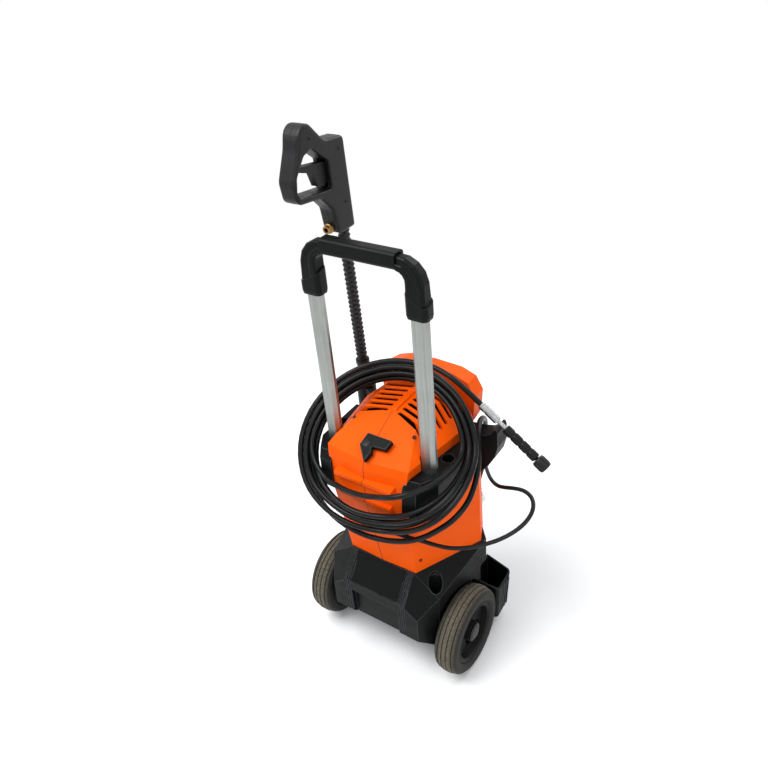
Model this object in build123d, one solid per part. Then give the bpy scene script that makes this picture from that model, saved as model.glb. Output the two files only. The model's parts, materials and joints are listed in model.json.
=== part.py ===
from build123d import *
import math
import os

# Electric pressure washer, upright on two wheels and a front foot.
# Millimetres. +X is the right side seen from behind the handle, +Y is the front, +Z is up.
# The origin is on the floor, in the middle of the machine's length and width.

# Wheels and axle
wheel_diameter = 185
wheel_width = 50
wheel_outer_x = 181
rim_radius = 66
axle_diameter = 12
axle_y = -50
axle_z = wheel_diameter / 2
running_fit = 0.1
tread_groove = 2.4

# Base
deck_z = 254
base_rear_y = -142
base_front_y = 98
hull_half_width = 127
wheel_well_radius = 101
base_wall = 4
foot_height = 6
lance_hole = 15

# Housing: two moulded halves that meet on the plane x = 0
crease_z = 523
roof_z = 567
hood_z = 599
hood_rear_y = 98
hood_front_y = 139
hood_lean = 0.03
house_wall = 3
louvre_count = 6
louvre_pitch = 17
louvre_width = 9
louvre_length = 82
louvre_angle = -19

# Handle
tube_x = 104
tube_y = -67
tube_size = (32, 20)
tube_bevel = 7
tube_wall = 2
tube_bottom_z = 447
tube_top_z = 833
bracket_top_z = 505
bracket_bottom_z = 430
bar_z = 903
collar_bottom_z = 811
collar_top_z = 846

# Spray gun, stood in its holder at the front left and leaning back a little
gun_x = -152
gun_foot_y = 100
gun_foot_z = 495
gun_lean = 2.5
gun_thickness = 35
rib_pitch = 10
rib_count = 28

# High pressure hose
hose_diameter = 10.5
hose_pitch = 11.4
hose_layer = 12
hose_first_turn = -0.11
hose_last_turn = 5.575
hose_drop = (-14, 38.5, 54, 65, 80, 108)
right_push = (50, 32, 36, 48, 52, 56)
left_push = (0, 4, 13, 7, 8, 12)
coil_centre = (8, -46, 493)
coil_right = (0.921, 0.368, 0.127)
coil_facing = (0.235, -0.786, 0.571)

# Power cord
cord_diameter = 8
cord_pitch = 8.8
cord_coil_centre = (-105, 262, 6)
cord_coil_inner = 36
cord_coil_turns = 12
cord_coil_start = 10

os.makedirs("parts", exist_ok=True)


# Shared shaping helpers

def polygon(points):
    """Flat face through points given in order round its edge."""
    return Face(Wire.make_polygon([Vector(*p) for p in points], close=True))


def straight_loft(*outlines):
    """Solid with straight sides through outlines that have equal numbers of corners."""
    wires = [Wire.make_polygon([Vector(*p) for p in outline], close=True) for outline in outlines]
    return Solid.make_loft(wires, ruled=True)


def prism_x(profile, x_from, x_to):
    """Solid with a (y, z) profile, running along X."""
    face = polygon([(x_from, y, z) for y, z in profile])
    return extrude(face, amount=x_to - x_from, dir=(1, 0, 0))


def prism_y(profile, y_from, y_to):
    """Solid with an (x, z) profile, running along Y."""
    face = polygon([(x, y_from, z) for x, z in profile])
    return extrude(face, amount=y_to - y_from, dir=(0, 1, 0))


def turned(profile, place=Location()):
    """Solid of revolution: (radius, height) points turned about Z, then put in place."""
    face = polygon([(radius, 0, height) for radius, height in profile])
    return place * revolve(face, axis=Axis.Z)


def rod(start, end, radius):
    """Round bar between two points."""
    axis = Vector(*end) - Vector(*start)
    return Solid.make_cylinder(radius, axis.length, Plane(Vector(*start), z_dir=axis))


def block(x_span, y_span, z_span):
    """Rectangular block between given limits."""
    size = [span[1] - span[0] for span in (x_span, y_span, z_span)]
    middle = [(span[0] + span[1]) / 2 for span in (x_span, y_span, z_span)]
    return Pos(*middle) * Box(*size)


def other_side(shape):
    """Mirror image on the other side of the parting plane."""
    return mirror(shape, about=Plane.YZ)


def octagon(size, bevel, z):
    """Corner points of a rectangle with bevelled corners, centred on the Z axis."""
    half_x, half_y = size[0] / 2, size[1] / 2
    right = [(half_x, -half_y + bevel), (half_x, half_y - bevel), (half_x - bevel, half_y)]
    left = [(-half_x + bevel, half_y), (-half_x, half_y - bevel), (-half_x, -half_y + bevel)]
    bottom = [(-half_x + bevel, -half_y), (half_x - bevel, -half_y)]
    return [(x, y, z) for x, y in right + left + bottom]


def plane_through(first, second, third, inside):
    """Plane through three points, with its normal pointing away from an inside point."""
    first, second, third = Vector(*first), Vector(*second), Vector(*third)
    normal = (second - first).cross(third - first).normalized()
    if normal.dot(Vector(*inside) - first) > 0:
        normal = normal * -1
    return first, normal


def trimmed(solid, planes, wall=0):
    """What is left of a solid inside every plane, each plane moved inwards by a wall."""
    for point, normal in planes:
        cutting = Plane(Vector(*point) - Vector(*normal) * wall, z_dir=normal)
        solid = split(solid, bisect_by=cutting, keep=Keep.BOTTOM)
    return solid


def save(shape, name):
    """Write one sub-part."""
    export_step(shape, f"parts/{name}.step")


# Wheels

def tyre(place):
    """Rubber tyre with a crowned tread and four grooves round it."""
    outer = wheel_diameter / 2
    half = wheel_width / 2
    shoulder = outer - 5
    profile = [(rim_radius, -half + 4), (rim_radius + 6, -half), (shoulder - 5, -half),
               (shoulder, -half + 4)]
    for number in range(4):
        groove = (number - 1.5) * wheel_width / 5
        land = outer - 0.012 * groove * groove
        edge = tread_groove / 2
        profile += [(land, groove - edge), (land - tread_groove, groove - edge)]
        profile += [(land - tread_groove, groove + edge), (land, groove + edge)]
    profile += [(shoulder, half - 4), (shoulder - 5, half), (rim_radius + 6, half), (rim_radius, half - 4)]
    return turned(profile, place)


def hub(place):
    """Moulded hub: rim, dished web with six pockets through it and a bored boss."""
    half = wheel_width / 2
    bore = axle_diameter / 2 + running_fit
    profile = [(bore, -half - 1), (20, -half - 1), (20, -8), (54, -8), (56, -half + 5),
               (rim_radius, -half + 5)]
    profile += [(rim_radius, half - 5), (60, half - 2), (56, half - 5), (53, 6), (22, 2), (20, half - 8)]
    profile += [(bore, half - 8)]
    solid = turned(profile)
    inner_end, outer_end = RectangleRounded(22, 15, 4), RectangleRounded(24, 19, 4)
    pocket = loft([Pos(37, 0, -12) * inner_end, Pos(37, 0, 12) * outer_end])
    for number in range(6):
        solid -= Rot(0, 0, 60 * number) * pocket
    return place * solid


def hub_cap(place):
    """Domed cap pressed into the boss of a hub."""
    half = wheel_width / 2
    top = half - 2
    return turned([(0, half - 7.8), (19, half - 7.8), (19, top - 2), (14, top), (0, top + 0.6)], place)


def wheel_place(side):
    """Middle of a wheel, with the wheel's own Z pointing outwards."""
    x = side * (wheel_outer_x - wheel_width / 2)
    return Location((x, axle_y, axle_z), (0, 90 * side, 0))


def wheels():
    for side, name in ((-1, "left"), (1, "right")):
        save(tyre(wheel_place(side)), f"tyre_{name}")
        save(hub(wheel_place(side)), f"hub_{name}")
        save(hub_cap(wheel_place(side)), f"hub_cap_{name}")
    reach = wheel_outer_x - 12
    save(rod((-reach, axle_y, axle_z), (reach, axle_y, axle_z), axle_diameter / 2), "axle")


# Base

shoulder_top = (74, -100, deck_z)
shoulder_bend = (68, base_rear_y, 200)
shoulder_side = (128, -100, 212)
shoulder_front = (146, 42, deck_z)
base_inside = (0, 0, 180)


def base_planes():
    """Facets of the base above its underside, with their outward normals."""
    planes = [((0, 0, deck_z), (0, 0, 1)), ((0, base_rear_y, 0), (0, -1, 0)), ((0, base_front_y, 0),
              (0, 1, 0))]
    planes.append(plane_through((0, -100, deck_z), shoulder_top, (0, base_rear_y, 200), base_inside))
    right = [plane_through(shoulder_top, shoulder_bend, shoulder_side, base_inside),
             plane_through(shoulder_top, shoulder_front, shoulder_side, base_inside),
             plane_through((103, -139, 0), (128, -100, 0), (128, -100, 9), base_inside),
             plane_through((128, -100, 0), (150, 45, 0), (150, 45, 9), base_inside),
             plane_through((150, 52, 0), (112, base_front_y, 0), (150, 52, 9), base_inside)]
    for point, normal in right:
        planes.append((point, normal))
        planes.append((Vector(-point.X, point.Y, point.Z), Vector(-normal.X, normal.Y, normal.Z)))
    return planes


def rear_grooves():
    """Cutters for the triple groove on each side of the rear panel."""
    depth = 2
    outline = [(-100, deck_z + 1), (-100 + depth, deck_z + 1), (base_rear_y + depth, 199)]
    outline += [(base_rear_y + depth, 60), (base_rear_y - 9, 60), (base_rear_y - 9, 201)]
    return [prism_x(outline, side * x - 1.2, side * x + 1.2) for side in (-1, 1) for x in (61, 66, 71)]


def base():
    """Black moulded base: faceted shell open below, wheel wells, toe and lance holes."""
    rough = block((-170, 170), (-160, 120), (70, 300))
    solid = trimmed(rough, base_planes())
    rear_edge = plane_through((0, base_rear_y, 114), (9, base_rear_y, 114), (0, -96, 70), base_inside)
    solid = trimmed(solid, [rear_edge])
    cavity = trimmed(block((-122, 122), (-160, 120), (60, 300)), base_planes(), base_wall)
    for side in (-1, 1):
        well_end = (side * 200, axle_y, axle_z)
        solid -= rod((side * hull_half_width, axle_y, axle_z), well_end, wheel_well_radius)
        solid -= block(sorted((side * 112, side * 170)), (30, 120), (60, 196))
        cavity -= block(sorted((side * 107, side * 170)), (26, 120), (60, 201))
    solid -= cavity
    for side in (-1, 1):
        boss = rod((side * 100, axle_y, axle_z), (side * (hull_half_width + 2), axle_y, axle_z), 16)
        solid += boss
    lance_socket = rod((103, -106, 152), (111, -81, 240), lance_hole + 3)
    solid += trimmed(lance_socket, base_planes())
    solid -= rod((103.3, -105, 156), (115, -68, 280), lance_hole)
    toe = prism_x([(60, 74), (60, foot_height), (126, foot_height), (130, 34),
                  (base_front_y - 0.1, 92)], -104, 104)
    toe -= prism_x([(50, 70), (50, -1), (121, -1), (125, 33), (base_front_y - 5, 86), (70, 86)], -100, 100)
    solid += toe
    solid -= rod((-200, axle_y, axle_z), (200, axle_y, axle_z), axle_diameter / 2 + running_fit)
    panel_half = 56
    solid -= prism_x([(-103, deck_z - 2), (-103, deck_z + 9), (-160, 200),
                     (-139, 199)], -panel_half, panel_half)
    recess_walls = block((-panel_half - 4, panel_half + 4), (-160, -127), (60, 184))
    solid += trimmed(recess_walls, base_planes() + [rear_edge])
    solid -= prism_x([(-131, 60), (-131, 176), (-160, 182), (-160, 60)], -panel_half, panel_half)
    for groove in rear_grooves():
        solid -= groove
    return solid


def feet():
    """Two rubber pads under the toe."""
    pad = Pos(0, 112, foot_height / 2) * Box(46, 22, foot_height)
    pad = fillet(pad.edges().filter_by(Axis.Z), 6)
    return Compound([Pos(-74, 0, 0) * pad.solid(), Pos(74, 0, 0) * pad.solid()])


def accessory_bin():
    """Open pocket beside the front of the right wheel, ribbed on its outer wall."""
    rim = [(112.3, 50), (180.5, 48), (178, 110), (112.3, 127)]
    floor = [(112.3, 53), (175, 51), (172, 104), (112.3, 120)]
    outer = straight_loft([(x, y, 26) for x, y in floor], [(x, y, 122) for x, y in rim])
    outer = fillet(outer.edges().filter_by(lambda edge: edge.center().X > 160 and edge.length > 60), 9)
    rim_in = [(115.5, 53), (177.5, 51), (175, 107.5), (115.5, 123)]
    floor_in = [(115.5, 56), (172, 54), (169, 101.5), (115.5, 116)]
    inner = straight_loft([(x, y, 29) for x, y in floor_in], [(x, y, 123) for x, y in rim_in])
    inner = fillet(inner.edges().filter_by(lambda edge: edge.center().X > 160 and edge.length > 60), 7)
    solid = outer - inner
    for number in range(4):
        y = 66 + 10 * number
        solid += straight_loft([(170, y, 30), (174.8, y, 30), (174.8, y + 3, 30), (170, y + 3, 30)],
                               [(174, y, 112), (180.5, y, 112), (180.5, y + 3, 112), (174, y + 3, 112)])
    return solid - inner


# Housing

def house_sections(inset):
    """Corner rings of one housing half, from the deck to the roof; inset gives its hollow."""
    if inset:
        return [[(-1, -92), (60, -90), (130, 36), (118, 78), (-1, 86)],
                [(-1, -122), (60, -116), (133, 38), (116, 80), (-1, 88)],
                [(-1, -119), (62, -106), (102, 44), (98, 82), (-1, 90)],
                [(-1, -114), (62, -102), (100, 44), (97, 82), (-1, 90)],
                [(-1, -23), (52, -23), (58, 58), (56, 84), (-1, 90)]]
    return [[(0, -99), (76, -97), (144, 42), (126, 84), (0, 92)],
            [(0, -128), (78, -122), (142, 42), (122, 86), (0, 94)],
            [(0, -126), (86, -115), (114, 49), (106, 88), (0, 96)],
            [(0, -121), (88, -111), (112, 49), (104, 88), (0, 96)],
            [(0, -26), (56, -26), (62, 60), (60, 88), (0, 96)]]


def house_block(inset=0):
    """Solid form of the right half below the hood, or its hollow when inset."""
    heights = [deck_z - inset, 430, bracket_top_z, crease_z - inset, roof_z - inset]
    rings = [[(x, y, z) for x, y in ring] for ring, z in zip(house_sections(inset), heights)]
    return straight_loft(*rings)


def hood_block(inset=0):
    """Raised visor over the front of the right half, or its hollow when inset."""
    side, top = 106 - inset, hood_z - inset
    start = -1 if inset else 0
    rear, front = hood_rear_y + inset, hood_front_y - inset
    base_z = crease_z - 20 - inset
    profile = [(start, base_z), (side - 4, base_z), (side, 556), (side - 15, 586 - inset),
               (58, top - 1), (start, top)]
    slim = [(start, base_z), (side - 9, base_z), (side - 5, 552), (side - 19, 579 - inset), (56, top - 9)]
    slim += [(start, top - 7)]
    return straight_loft([(x, rear - hood_lean * (hood_z - z), z) for x, z in profile],
                         [(x, front, z) for x, z in slim])


def tube_channel(gap):
    """Space that a handle tube takes, with a gap all round it."""
    size = (tube_size[0] + 2 * gap, tube_size[1] + 2 * gap)
    return straight_loft([(tube_x + x, tube_y + y, z) for x, y, z in octagon(size, tube_bevel,
                         tube_bottom_z)],
                         [(tube_x + x, tube_y + y, z) for x, y, z in octagon(size, tube_bevel, 700)])


def louvres():
    """Cutters for the swept air slots through the right half of the roof."""
    outline = Rot(0, 0, louvre_angle) * RectangleRounded(louvre_length, louvre_width, louvre_width * 0.45)
    slot = extrude(outline, amount=80)
    return [Pos(50, -32 + louvre_pitch * number, 534) * slot for number in range(louvre_count)]


def ledges():
    """Two moulded steps across the upper rear face of the right half."""
    upper = [(-118, 486), (-134, 484), (-134, 476), (-119, 456)]
    lower = [(-118, 442), (-132, 440), (-132, 434), (-119, 414)]
    return [prism_x(upper, 0, 63), prism_x(lower, 0, 56)]


def air_guide():
    """Dark plate under the louvres that keeps rain off the motor."""
    plate = block((-1, 100), (-110, 84), (526, 529)) & house_block(house_wall)
    return plate + other_side(plate)


def outer_house():
    """Outside of the right half as one solid, for the pieces that seat on it."""
    return house_block() + hood_block()


def housing_right():
    """Right half: a shell with louvres, ledges and a channel for the handle tube."""
    solid = outer_house()
    for ledge in ledges():
        solid += ledge
    solid -= house_block(house_wall)
    solid -= hood_block(house_wall)
    for slot in louvres():
        solid -= slot
    return solid - tube_channel(1.5)


def bracket_right():
    """Socket for a handle tube that wraps the rear corner and carries the upper lance hole."""
    low = [(76, -125), (104, -123), (130, -86), (135, 18), (90, 22)]
    middle = [(79, -122), (106, -119), (131, -84), (135, 38), (90, 42)]
    top = [(81, -111), (110, -109), (129, -78), (131, 35), (90, 40)]
    solid = straight_loft([(x, y, bracket_bottom_z) for x, y in low], [(x, y, 489) for x, y in middle],
                          [(x, y, bracket_top_z) for x, y in top])
    solid -= house_block()
    for ledge in ledges():
        solid -= ledge
    solid -= tube_channel(0.2)
    solid -= rod((112, -44, 400), (118, -18, 540), 12)
    return solid


def side_hook():
    """Hook on the right front side that carries the hose and the cord."""
    saddle = [(100, 500), (126, 503), (146, 508), (158, 516), (165, 528), (169, 529), (172, 522),
              (172, 488)]
    under = [(166, 464), (152, 438), (132, 414), (100, 400)]
    solid = prism_y(saddle + under, 60, 98)
    hollow = [(100, 490), (126, 494), (148, 499), (160, 511), (166, 511), (166, 488), (160, 468),
              (147, 444)]
    hollow += [(129, 422), (100, 408)]
    solid -= prism_y(hollow, 66, 99)
    rib = prism_y([(100, 446), (156, 476), (156, 481), (100, 451)], 64, 98)
    return solid + rib - house_block() - hood_block()


def lance_holder():
    """Cup on the left front side that the gun's extension stands in."""
    cup = rod((gun_x, gun_foot_y, 440), (gun_x, gun_foot_y, 516), 20)
    arm = straight_loft([(-105, 72, 446), (-150, 88, 446), (-150, 112, 446), (-105, 86, 446)],
                        [(-105, 72, 500), (-150, 86, 510), (-150, 114, 510), (-105, 86, 500)])
    solid = cup + arm
    solid -= rod((gun_x, gun_foot_y, 447), (gun_x, gun_foot_y, 520), 15.5)
    return solid - other_side(house_block() + hood_block())


def front_panel():
    """Dark panel over the front with a raised collar for the switch."""
    outline = [(-96, 262), (-104, 275), (-96, 488), (-84, 498), (84, 498), (96, 488), (104, 275), (96, 262)]
    plate = prism_y(outline, 80, 106)
    plate -= prism_y([(-70, 300), (-70, 345), (70, 345), (70, 300)], 102, 110)
    plate += rod((0, 100, 425), (0, 110, 425), 34)
    plate -= house_block() + other_side(house_block())
    plate -= hood_block() + other_side(hood_block())
    return plate


# Moving pieces on the machine

latch_pivot = (-6, -96, crease_z + (roof_z - crease_z) * 25 / 95)
latch_normal = Vector(0, -(roof_z - crease_z), 95).normalized()
latch_gap = 2.5


def latch_plane(height):
    """Plane above the slanted rear face, on the pivot of the swivelling latch."""
    return Plane(Vector(*latch_pivot) + latch_normal * height, x_dir=(1, 0, 0), z_dir=latch_normal)


def hose_latch():
    """Bent lever that swivels flat above the slanted face."""
    outline = [(-8, 21), (45, 21), (41, 1), (13, -2), (18, -12), (14, -33), (-11, -5)]
    lever = extrude(make_face(Polyline(*outline, close=True)), amount=11)
    lever = fillet(lever.edges().filter_by(Axis.Z), 2)
    lever = chamfer(lever.faces().sort_by(Axis.Z)[-1].edges(), 1.2)
    lever -= Cylinder(3.2, 60)
    lever -= Pos(0, 0, 9) * Cylinder(6.4, 4, align=(Align.CENTER, Align.CENTER, Align.MIN))
    return latch_plane(latch_gap) * lever


def latch_screw():
    """Shouldered screw that the latch turns on, standing on the slanted face."""
    profile = [(0, 0), (5, 0), (5, 1.9), (3, 1.9), (3, latch_gap + 9.4), (6, latch_gap + 9.4),
               (6, latch_gap + 11.8)]
    return turned(profile + [(0, latch_gap + 12.4)], latch_plane(0).location)


def switch_knob():
    """Rotary on and off switch with a grip bar."""
    front = Location((0, 110.4, 425), (-90, 0, 0))
    knob = turned([(0, 0), (27, 0), (27, 8), (25, 11), (0, 11)], front)
    bar = front * straight_loft([(-24, -6, 10), (24, -6, 10), (24, 6, 10), (-24, 6, 10)],
                                [(-20, -4, 24), (20, -4, 24), (20, 4, 24), (-20, 4, 24)])
    return knob + bar


def water_inlet():
    """Garden hose nipple on the lower front."""
    front = Location((52, 106, 322), (-90, 0, 0))
    profile = [(6, -4), (16, -4), (16, 4), (11, 4), (11, 12), (8.8, 14), (8.8, 19), (7.6, 20.5), (7.6, 24)]
    profile += [(8.8, 25.5), (8.8, 33), (7.4, 37), (6, 37)]
    return turned(profile, front) & block((0, 120), (102, 160), (280, 360))


outlet_end = (-64, 130, 152)


def water_outlet():
    """Pump outlet: a brass elbow that comes out of the front and turns to the right."""
    x, y, z = outlet_end
    stem = rod((x - 22, base_front_y, z), (x - 22, y, z), 9)
    flange = rod((x - 22, base_front_y, z), (x - 22, base_front_y + 5, z), 17)
    arm = rod((x - 22, y, z), (x, y, z), 9)
    corner = Pos(x - 22, y, z) * Sphere(9)
    return stem + flange + arm + corner - rod((x - 12, y, z), (x + 1, y, z), 5)


# Motor and pump inside the housing

motor_y = -12


def motor():
    """Motor can with end bells, upright above the pump."""
    profile = [(0, 352), (40, 352), (52, 360), (58, 366), (58, 452), (52, 460), (24, 466), (24, 472),
               (6.3, 472)]
    return turned(profile + [(6.3, 400), (0, 400)], Location((0, motor_y, 0)))


def motor_fan():
    """Seven bladed fan on the motor's shaft, below the louvres."""
    fan = Pos(0, 0, 487) * Cylinder(18, 20) + Pos(0, 0, 440) * Cylinder(6, 76)
    blade = Pos(38, 0, 487) * (Rot(34, 0, 0) * Box(46, 20, 2.5))
    for number in range(7):
        fan += Rot(0, 0, 360 / 7 * number) * blade
    return Pos(0, motor_y, 0) * fan


def pump():
    """Pump block with a gear case above it and three valve plugs, standing on the deck."""
    body = block((-46, 46), (motor_y - 34, motor_y + 44), (deck_z, 322))
    case = Pos(0, motor_y, 337) * Cylinder(50, 30)
    solid = body + case
    for x in (-28, 0, 28):
        solid += rod((x, motor_y + 44, 290), (x, motor_y + 54, 290), 10)
    return solid


# Handle

def handle_tube():
    """Bevelled aluminium tube of the right side."""
    inner = (tube_size[0] - 2 * tube_wall, tube_size[1] - 2 * tube_wall)
    inner_bevel = tube_bevel - tube_wall * 0.6
    rings = [octagon(tube_size, tube_bevel, z) for z in (tube_bottom_z, tube_top_z)]
    hollow = [octagon(inner, inner_bevel, z) for z in (tube_bottom_z - 1, tube_top_z + 1)]
    return Pos(tube_x, tube_y, 0) * (straight_loft(*rings) - straight_loft(*hollow))


bar_size = (27, 28)
bar_end_x = 72
bar_round = 7
pocket_radius = 11.5
pocket_depth = 12


def handle_bar():
    """Crossbar with rounded edges and an open pocket in each end."""
    end = Plane((-bar_end_x, tube_y, bar_z), x_dir=(0, 1, 0), z_dir=(1, 0, 0))
    bar = extrude(end * RectangleRounded(*bar_size, bar_round), amount=2 * bar_end_x)
    for side in (-1, 1):
        pocket_end = (side * (bar_end_x - pocket_depth), tube_y, bar_z)
        bar -= rod(pocket_end, (side * (bar_end_x + 1), tube_y, bar_z), pocket_radius)
    return bar


def bend_planes():
    """Planes along the elbow from the crossbar to the collar; their Y points outwards."""
    reach = tube_x - bar_end_x
    planes = []
    for step in range(5):
        turn = math.radians(22.5 * step)
        place = (bar_end_x + reach * math.sin(turn), tube_y, bar_z - reach + reach * math.cos(turn))
        planes.append(Plane(place, x_dir=(0, 1, 0), z_dir=(math.cos(turn), 0, -math.sin(turn))))
    planes.append(Plane((tube_x, tube_y, collar_top_z - 8), x_dir=(0, 1, 0), z_dir=(0, 0, -1)))
    return planes


def bent_bar(first_size, last_size, first_offset, last_offset, rounding):
    """Bar that follows the elbow while its section grows and shifts outwards."""
    planes = bend_planes()
    sections = []
    for number, plane in enumerate(planes):
        share = number / (len(planes) - 1)
        width, height = [first + (last - first) * share for first, last in zip(first_size, last_size)]
        offset = first_offset + (last_offset - first_offset) * share
        sections.append(plane * (Pos(0, offset) * RectangleRounded(width, height, rounding)))
    return loft(sections, ruled=True)


def handle_elbow():
    """Right elbow: a lip that carries on the crossbar's underside, a bent core and a collar."""
    lip = bent_bar((26.9, 12), (28, 15), -8, -10, 4)
    core = bent_bar((20, 20), (27, 34), -1, 0, 6)
    root = extrude(bend_planes()[0] * (Pos(0, -1) * RectangleRounded(15, 15, 6)),
                   amount=-pocket_depth + 0.5)
    collar_sizes = [((39, 27), collar_bottom_z), ((41, 29), collar_bottom_z + 6),
                    ((41, 29), collar_top_z + 12)]
    collar = loft([Pos(tube_x, tube_y, z) * RectangleRounded(*size, 9) for size, z in collar_sizes],
                  ruled=True)
    slant = Plane((tube_x, tube_y, collar_top_z), z_dir=(0.42, -0.22, 0.88))
    collar = split(collar, bisect_by=slant, keep=Keep.BOTTOM)
    solid = lip + core + root + collar
    ends = [octagon((32.4, 20.4), tube_bevel, height) for height in (collar_bottom_z - 1, tube_top_z + 0.5)]
    socket = straight_loft(*[[(tube_x + x, tube_y + y, z) for x, y, z in end] for end in ends])
    return solid - socket


# Spray gun, modelled upright round its own axis: s is the distance behind the axis

gun_axis = Location((gun_x, gun_foot_y, gun_foot_z), (gun_lean, 0, 0))
gun_place = gun_axis * Pos(0, 0, -gun_foot_z)
trigger_pivot = (25, 984)


def gun_profile(points, x_from, x_to):
    """Solid with an (s, z) profile across the gun."""
    return prism_x([(-s, z) for s, z in points], x_from, x_to)


def gun_half():
    """Right half of the gun: valve body, rear bridge, grip and guard round the finger opening."""
    half = gun_thickness / 2
    corners = [(-17, 862), (-17, 1028), (30, 1034), (88, 1080), (106, 1036), (128, 992), (124, 953),
               (64, 943)]
    corners += [(39, 914), (34, 868), (22, 862)]
    rounding = [2, 9, 14, 9, 26, 22, 12, 14, 20, 5, 2]
    outline = FilletPolyline(*[(0, -s, z) for s, z in corners], radius=rounding, close=True)
    opening = [(33, 1000), (70, 1032), (91, 1026), (115, 998), (120, 974), (113, 962), (54, 953), (33, 950)]
    shell = extrude(Face(Wire(outline.edges())), amount=half, dir=(1, 0, 0))
    shell = fillet(shell.faces().sort_by(Axis.X)[-1].edges(), 6)
    window = gun_profile(opening, -1, half + 1)
    window = fillet(window.edges().filter_by(Axis.X), 4)
    shell -= window
    shell -= gun_profile([(14, 934), (14, 1000), (34, 1003), (34, 934)], -1, 7.6)
    pin_s, pin_z = trigger_pivot
    shell -= rod((-1, -pin_s, pin_z), (half - 4, -pin_s, pin_z), 2.05)
    shell -= rod((0, -14, 876), (0, -60, 876), 7.6)
    shell -= rod((0, 0, 850), (0, 0, 900), 8.1)
    return shell


def gun_trigger():
    """Bent trigger: a finger bar across the opening and a blade along the valve body."""
    outline = [(98, 1009), (100, 1001), (66, 988), (58, 962), (42, 957), (20, 970), (18, 990), (36, 997)]
    trigger = gun_profile(outline, -7, 7)
    trigger = fillet(trigger.edges().filter_by(Axis.X), 1.5)
    pin_s, pin_z = trigger_pivot
    return trigger - rod((-9, -pin_s, pin_z), (9, -pin_s, pin_z), 2.1)


def trigger_pin():
    """Steel pin of the trigger."""
    s, z = trigger_pivot
    reach = gun_thickness / 2 - 4.2
    return rod((-reach, -s, z), (reach, -s, z), 2)


def gun_inlet():
    """Brass inlet behind the lower body, open towards the hose."""
    back = Location((0, -14.5, 876), (90, 0, 0))
    return turned([(4.5, 0), (7.5, 0), (7.5, 22), (9.5, 22), (9.5, 26), (7.5, 27.5), (7.5, 33),
                  (4.5, 33)], back)


def gun_extension():
    """Ribbed grip of the extension below the gun."""
    top = 861.8
    profile = [(0, top + 30), (8, top + 30), (8, top), (11, top)]
    for number in range(rib_count):
        z = top - 5 - rib_pitch * number
        profile += [(11.5, z), (9.3, z - rib_pitch / 2)]
    end = top - 5 - rib_pitch * rib_count
    profile += [(11, end), (11, end - 4), (0, end - 4)]
    return turned(profile)


def gun_coupling():
    """Bayonet end of the extension, which stands in the holder."""
    top = 861.8 - 5 - rib_pitch * rib_count - 4
    profile = [(0, top), (14, top), (14, top - 8), (12, top - 10), (12, top - 30), (9, top - 34)]
    solid = turned(profile + [(9, 505), (6, 500), (0, 500)])
    for number in range(2):
        solid += Rot(0, 0, 180 * number) * block((11, 14), (-3, 3), (top - 20, top - 12))
    return solid


# Hose and cord routes

def biarc(start, leaving, end, arriving):
    """Two arcs that join two points, tangent to the given directions."""
    chord = end - start
    both = leaving + arriving
    spread = 2 * (1 - leaving.dot(arriving))
    along = chord.dot(both)
    if spread < 1e-9:
        reach = chord.length ** 2 / (2 * along)
    else:
        reach = (math.sqrt(along ** 2 + spread * chord.length ** 2) - along) / spread
    middle = (start + leaving * reach + end - arriving * reach) * 0.5
    return [TangentArc(start, middle, tangent=leaving), TangentArc(end, middle, tangent=arriving * -1)]


def winding(point_at, first, last, step):
    """Wire of biarcs along a winding, from one turn to another, in steps of part of a turn."""
    count = round((last - first) / step)
    turns = [first + (last - first) * number / count for number in range(count + 1)]
    nudge = 0.002
    places = [point_at(turn) for turn in turns]
    headings = [(point_at(turn + nudge) - point_at(turn - nudge)).normalized() for turn in turns]
    edges = []
    for number in range(count):
        first_arc, second_arc = biarc(places[number], headings[number], places[number + 1],
                                      headings[number + 1])
        edges += [first_arc, second_arc]
    return Wire(edges), headings


def tube_along(wire, heading, diameter):
    """Round tube swept along a wire."""
    start = Plane(wire @ 0, z_dir=heading)
    return sweep(start * Circle(diameter / 2), path=wire)


def least_gap(wire, diameter, turns):
    """Smallest gap between the turns of a winding, measured on points along it."""
    count = 64 * math.ceil(turns)
    points = [wire.position_at(number / count) for number in range(count + 1)]
    apart = round(count / turns * 0.4)
    gap = min((points[a] - points[b]).length for a in range(count) for b in range(a + apart, count + 1))
    return gap - diameter


def report_tube(name, tube, length, diameter):
    """Print a tube's length and how its volume compares with its section times its length."""
    ideal = math.pi * diameter ** 2 / 4 * length
    print(f"{name}: length {length:.0f}, volume ratio {tube.volume / ideal:.4f}")


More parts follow.
